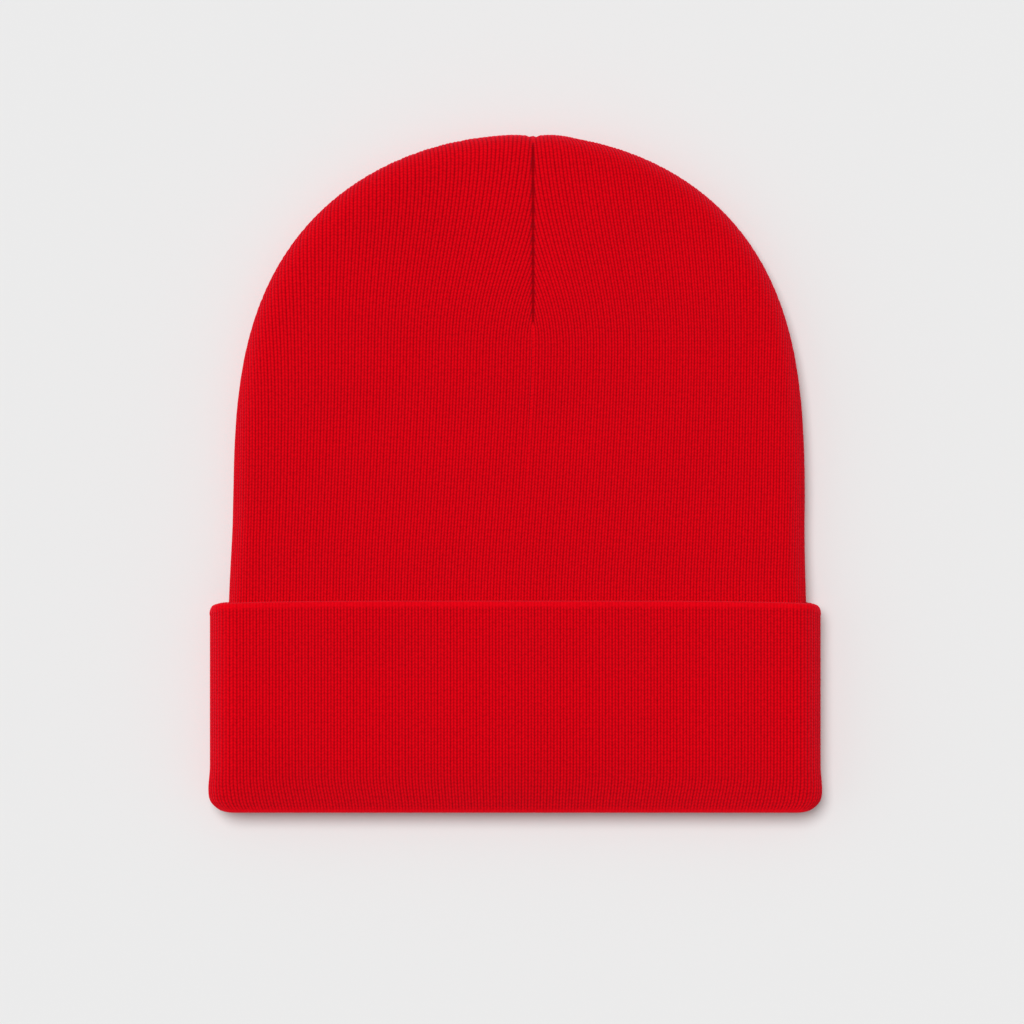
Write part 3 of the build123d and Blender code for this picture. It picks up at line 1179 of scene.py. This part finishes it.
@dataclass
class CuffFace(CuffPly):
    """Face ply of the cuff: bottom roll, face and top hem.

    The rib is pulled nearly flat at the tip of the roll, and half flat along the hem. The turns
    have as many points as their size needs, fewer on the hidden side.
    """

    row_spacing: float = 2.2 * MM
    hem_row_spacing: float = 0.5 * MM
    roll_length: float = 10.0 * MM
    hem_depth: float = 4.0 * MM
    hem_bend: float = 0.1 * MM
    fold_strip: tuple[float, float] = (0.6 * MM, 2.0 * MM)
    fold_stand: float = 0.15
    hem_strip: tuple[float, float] = (-2.8 * MM, -2.0 * MM)
    hem_flattening: float = 0.6
    turn_points: int = 9
    roll_points: int = 13
    leg_points: int = 5
    inner_turn_points: tuple[int, int, int] = (3, 6, 5)

    def build(self, relief: bpy.types.NodeTree, finish: bpy.types.Material) -> bpy.types.Object:
        """Make the face ply.

        Args:
            relief: geometry tree that sinks the grooves.
            finish: the cloth's material.

        Returns:
            The finished piece.
        """
        thick = self.cloth.thickness
        fold, hem = self.form.fold, self.form.hem
        outer, roll = self.form.cuff_proud, self.roll_radius
        middle = outer - roll
        hem_radius = (outer - self.body_gap) / 2
        turn_y = hem - hem_radius
        hem_centre = (turn_y, outer - hem_radius)
        roll_centre, roll_end = (fold + roll, middle), (fold + self.roll_length, middle)
        hem_start = turn_y - self.hem_depth
        rows = round((hem_start - roll_end[0]) / self.row_spacing)
        hem_rows = round(self.hem_depth / self.hem_row_spacing)
        shown = np.concatenate(
            [
                arc(roll_centre, (roll, roll), (270, 180), self.turn_points),
                arc(roll_end, (self.roll_length, roll), (180, 90), self.roll_points)[1:],
                level(roll_end[0], hem_start, outer, rows),
                level(hem_start, turn_y, outer, hem_rows),
                arc(hem_centre, (hem_radius, hem_radius), (90, -90), self.turn_points)[1:],
            ]
        )
        at_hem, at_roll, at_back = self.inner_turn_points
        hidden = np.concatenate(
            [
                arc(hem_centre, (self.hem_bend, hem_radius - thick), (-90, 90), at_hem),
                level(turn_y, roll_end[0], outer - thick, self.leg_points + 1)[:-1],
                arc(roll_end, (self.roll_length - thick, roll - thick), (90, 180), at_roll),
                arc(roll_centre, (roll - thick, roll - thick), (180, 270), at_back)[1:],
            ]
        )
        # Where the rib is pulled flat, less painted shade falls between the wales as well.
        stand = self.fold_stand + (1 - self.fold_stand) * smooth_step(shown[:, 0] - fold, *self.fold_strip)
        stand = stand * (1 - self.hem_flattening * smooth_step(shown[:, 0] - hem, *self.hem_strip))
        rib = np.concatenate([stand, np.zeros(len(hidden))])
        return self._sweep(np.concatenate([shown, hidden]), rib, relief, finish)


@dataclass
class CuffBacking(CuffPly):
    """Backing ply of the cuff, between its face and the body; its rib half stands on the body's side."""

    hem_gap: float = 1.7 * MM
    stand: float = 0.5
    rows: int = 23
    turn_points: tuple[int, int] = (9, 5)

    def build(self, relief: bpy.types.NodeTree, finish: bpy.types.Material) -> bpy.types.Object:
        """Make the backing ply.

        Args:
            relief: geometry tree that sinks the grooves.
            finish: the cloth's material.

        Returns:
            The finished piece.
        """
        thick, bottom = self.cloth.thickness, self.body_gap
        top = bottom + thick
        roll_y = self.form.fold + self.roll_radius
        outer = (top + thick) / 2
        inner = outer - thick
        centre = (roll_y, top - outer)
        end_y = self.form.hem - self.hem_gap
        outer_roll = arc(centre, (outer, outer), (270, 90), self.turn_points[0])
        leg = level(roll_y, end_y, top, self.rows)
        under = level(roll_y, end_y, bottom, self.rows)[::-1]
        inner_roll = arc(centre, (inner, inner), (90, 270), self.turn_points[1])
        profile = np.concatenate([outer_roll, leg, under, inner_roll])
        rib = np.zeros(len(profile))
        first_under = len(outer_roll) + self.rows
        rib[first_under : first_under + self.rows] = self.stand
        return self._sweep(profile, rib, relief, finish)


@dataclass
class StitchRow:
    """Row of thread loops in the gap between the two plies of the body."""

    node: str
    form: BodyForm
    inset: float
    face: Face = Face.FRONT
    hand: Hand = Hand.RIGHT
    pitch: float = 2.6 * MM
    stitch_length: float = 3.2 * MM
    stitch_width: float = 0.9 * MM
    thread_radius: float = 0.18 * MM

    def _rail(self) -> tuple[np.ndarray, np.ndarray, np.ndarray]:
        """Give the stitches' middles in the unrolled plan, their headings and their rim marks."""
        raise NotImplementedError

    def _frames(self) -> tuple[np.ndarray, np.ndarray, np.ndarray]:
        """Set the stitches on the body.

        Returns:
            Their middles, the directions along them and the directions out of the cloth.
        """
        plan, heading, on_rim = self._rail()
        here, outward, _ = self.form.place(plan[:, 0], plan[:, 1], on_rim, self.face, self.hand)
        ahead = plan + heading * 0.5 * self.stitch_length
        there, ahead_out, _ = self.form.place(ahead[:, 0], ahead[:, 1], on_rim, self.face, self.hand)
        middle = here - outward * self.inset
        return middle, there - ahead_out * self.inset - middle, outward

    def build(self, tree: bpy.types.NodeTree, finish: bpy.types.Material) -> bpy.types.Object:
        """Make the row of stitches.

        Args:
            tree: geometry tree that lays the loops.
            finish: the thread's material.

        Returns:
            The finished piece.
        """
        middle, heading, outward = self._frames()
        mesh = bpy.data.meshes.new(f"{self.node}_loops")
        mesh.from_pydata(middle.tolist(), [], [])
        for name, vectors in (("heading", heading), ("outward", outward)):
            store = mesh.attributes.new(name, "FLOAT_VECTOR", "POINT")
            store.data.foreach_set("vector", vectors.astype(np.float32).ravel())
        piece = bpy.data.objects.new(f"{self.node}_loops", mesh)
        bpy.context.scene.collection.objects.link(piece)
        sizes = {
            "Stitch Length": self.stitch_length,
            "Stitch Width": self.stitch_width,
            "Thread Radius": self.thread_radius,
        }
        apply_tree(piece, tree, {**sizes, "Material": finish})
        return piece


@dataclass
class FlatDartRow(StitchRow):
    """Overlock stitches up the front or back dart, on one side of the seam."""

    seam_gap: float = 1.0 * MM

    def _rail(self) -> tuple[np.ndarray, np.ndarray, np.ndarray]:
        """Give the stitches' middles, headings and rim marks: a straight row beside the seam."""
        low, high = (Vector(c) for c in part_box(self.node))
        along = np.arange(low.y, high.y, self.pitch) + self.stitch_width / 2
        across = np.full(len(along), self.seam_gap + self.stitch_length / 2)
        heading = np.tile([1.0, 0.0], (len(along), 1))
        return np.stack([across, along], axis=1), heading, np.zeros(len(along), dtype=bool)


@dataclass
class SideDartRow(StitchRow):
    """Overlock stitches along the rim, on one side of a side dart."""

    seam_gap: float = 0.3 * MM
    stitch_length: float = 1.4 * MM

    def _rail(self) -> tuple[np.ndarray, np.ndarray, np.ndarray]:
        """Give the stitches' middles, headings and rim marks: a row that follows the outline."""
        low, high = (Vector(c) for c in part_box(self.node))
        inside = (self.form.outline[:, 1] > low.y) & (self.form.outline[:, 1] < high.y)
        outline, normals = self.form.outline[inside], self.form.outline_normals[inside]
        run = np.concatenate([[0], np.cumsum(np.linalg.norm(np.diff(outline, axis=0), axis=1))])
        chosen = np.searchsorted(run, np.arange(0, run[-1], self.pitch))
        depth = self.seam_gap + self.stitch_length / 2
        plan = outline[chosen] - normals[chosen] * depth
        return plan, -normals[chosen], np.zeros(len(plan), dtype=bool)


@dataclass
class CrownTack(StitchRow):
    """Three loops through the gap that tie the lining to the outer ply at the apex."""

    spacing: float = 2.0 * MM
    stitch_length: float = 1.0 * MM
    stitch_width: float = 0.8 * MM

    def _frames(self) -> tuple[np.ndarray, np.ndarray, np.ndarray]:
        """Set the loops across the gap, side by side on the top of the crown.

        Returns:
            Their middles, the directions along them and the directions out of their rings.
        """
        top = self.form.outline[-1, 1]
        places = []
        for hand, across in ((Hand.LEFT, self.spacing), (Hand.RIGHT, 0.0), (Hand.RIGHT, self.spacing)):
            points, outward, _ = self.form.place(
                np.array([across]), np.array([top]), np.array([True]), self.face, hand
            )
            places.append((points[0] - outward[0] * self.inset, outward[0]))
        middle = np.array([place for place, _ in places])
        heading = np.array([outward for _, outward in places])
        return middle, heading, np.tile([1.0, 0.0, 0.0], (len(places), 1))


# ---- studio --------------------------------------------------------------------------------------


@dataclass(frozen=True)
class Studio:
    """Pale floor, soft daylight from the upper left and a camera straight above the hat."""

    floor_colour: str = "#EDEDED"
    floor_reach: float = 4.0
    view_width: float = 363.0 * MM
    view_centre: tuple[float, float] = (-1.15 * MM, -14.34 * MM)
    lens: float = 135.0
    sensor: float = 36.0
    sun_strength: float = 2.26
    fill_strength: float = 0.2
    fill_direction: tuple[float, float, float] = (-1.0, 0.15, 0.5)
    fill_angle: float = 60.0
    sun_angle: float = 30.0
    sun_direction: tuple[float, float, float] = (-0.16, 0.27, 1.0)
    sky_colour: str = "#FFFFFF"
    sky_strength: float = 0.27

    def _add_lamp(
        self, name: str, strength: float, angle: float, direction: tuple[float, float, float]
    ) -> None:
        """Add a distant soft lamp.

        Args:
            name: the lamp's name.
            strength: power on a surface that faces it, in watts a square metre.
            angle: its width as seen from the hat, in degrees.
            direction: from the hat to the lamp.
        """
        light = bpy.data.lights.new(name, "SUN")
        light.energy = strength
        light.angle = math.radians(angle)
        lamp = bpy.data.objects.new(name, light)
        lamp.rotation_euler = Vector(direction).to_track_quat("Z", "Y").to_euler()
        bpy.context.scene.collection.objects.link(lamp)

    def build(self) -> None:
        """Add the floor, the lights and the camera."""
        scene = bpy.context.scene
        mesh = bpy.data.meshes.new("floor")
        reach = self.floor_reach
        corners = [(-reach, -reach, 0), (reach, -reach, 0), (reach, reach, 0), (-reach, reach, 0)]
        mesh.from_pydata(corners, [], [(0, 1, 2, 3)])
        floor = bpy.data.objects.new("floor", mesh)
        scene.collection.objects.link(floor)
        material = bpy.data.materials.new("matt_paper_floor")
        material.use_nodes = True
        shader = material.node_tree.nodes["Principled BSDF"]
        shader.inputs["Base Color"].default_value = linear_colour(self.floor_colour)
        shader.inputs["Roughness"].default_value = 1.0
        shader.inputs["Specular IOR Level"].default_value = 0.0
        mesh.materials.append(material)

        self._add_lamp("window", self.sun_strength, self.sun_angle, self.sun_direction)
        self._add_lamp("left_fill", self.fill_strength, self.fill_angle, self.fill_direction)

        world = bpy.data.worlds.new("studio")
        world.use_nodes = True
        background = world.node_tree.nodes["Background"]
        background.inputs["Color"].default_value = linear_colour(self.sky_colour)
        background.inputs["Strength"].default_value = self.sky_strength
        scene.world = world
        scene.view_settings.view_transform = "Standard"

        camera = bpy.data.cameras.new("camera")
        camera.lens = self.lens
        camera.sensor_width = self.sensor
        plane = Vector(CAD_BOX[1]).z / 2
        distance = self.view_width * self.lens / self.sensor
        eye = bpy.data.objects.new("camera", camera)
        eye.location = (self.view_centre[0], self.view_centre[1], plane + distance)
        scene.collection.objects.link(eye)
        scene.camera = eye


# ---- assembly ------------------------------------------------------------------------------------


def main() -> None:
    """Build the hat and its studio."""
    logging.basicConfig(level=logging.INFO, format="%(name)s: %(message)s")
    form = BodyForm()
    cloth = RibCloth()
    yarn = RibKnitAcrylic().build()
    thread = SpunPolyesterThread().build()
    relief = rib_relief_tree()
    overlock = overlock_tree()
    lining_inset = Vector(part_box("lining_ply")[0]).z
    lining_depth = lining_inset + cloth.thickness
    plies = [
        (BodyPly("outer_ply", form, cloth, 0.0, cloth.thickness, cloth.shown_columns), "hat"),
        (BodyPly("lining_ply", form, cloth, lining_depth, lining_inset, cloth.hidden_columns), "hat"),
        (CuffFace("cuff_face_ply", form, cloth, cloth.shown_columns, "cuff_backing_ply_knit"), "cuff"),
        (CuffBacking("cuff_backing_ply", form, cloth, cloth.hidden_columns, "outer_ply_knit"), "cuff"),
    ]
    for ply, body in plies:
        piece = ply.build(relief, yarn)
        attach(piece, body)
        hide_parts(ply.node)
        LOG.info("%s: %d faces", piece.name, len(piece.data.polygons))
    rows: list[StitchRow] = [CrownTack("crown_tack", form, (cloth.thickness + lining_inset) / 2)]
    for layer, hand, rim_face in (("shell", Hand.RIGHT, Face.FRONT), ("lining", Hand.LEFT, Face.BACK)):
        low, high = (Vector(c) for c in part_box(f"{layer}_front_dart_thread"))
        inset = form.top - (low.z + high.z) / 2
        rows += [
            FlatDartRow(f"{layer}_front_dart_thread", form, inset, Face.FRONT, hand),
            FlatDartRow(f"{layer}_back_dart_thread", form, inset, Face.BACK, hand),
            SideDartRow(f"{layer}_right_dart_thread", form, inset, rim_face, Hand.RIGHT),
            SideDartRow(f"{layer}_left_dart_thread", form, inset, rim_face, Hand.LEFT),
        ]
    for row in rows:
        piece = row.build(overlock, thread)
        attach(piece, "hat")
        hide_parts(row.node)
        LOG.info("%s: %d faces", piece.name, len(piece.data.polygons))
    Studio().build()


if __name__ == "__main__":
    main()
